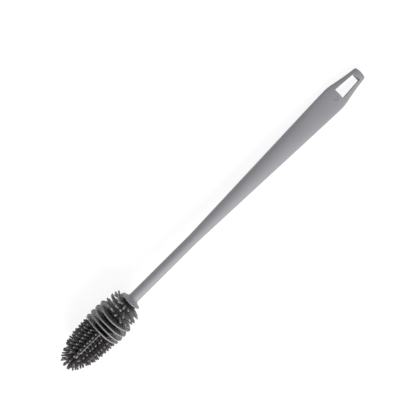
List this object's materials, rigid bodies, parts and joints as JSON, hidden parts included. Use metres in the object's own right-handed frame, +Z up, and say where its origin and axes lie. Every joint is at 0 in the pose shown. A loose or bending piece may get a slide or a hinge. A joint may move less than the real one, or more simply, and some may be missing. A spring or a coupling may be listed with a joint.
{
  "type": "bottle brush",
  "caption": "Long-handled bottle brush: tapered moulded handle with a hanging loop, and a soft silicone head with bristles round a core and thin wiping fins.",
  "frame": {"origin": "middle of the brush's box, on the surface it lies on", "axes": "+X from the bristle tips to the hanging loop, +Z up; the brush lies on the lowest fins of its head and on the end of its loop, so its own axis leans about 2.7 degrees down towards +X"},
  "size_m": [0.3188, 0.0324, 0.0324],
  "materials": {
    "handle_plastic": "fine moulded satin",
    "silicone": "smoky translucent silicone"
  },
  "bodies": {
    "root": {"handle": "handle_plastic", "brush_head": "silicone"}
  },
  "joints": []
}
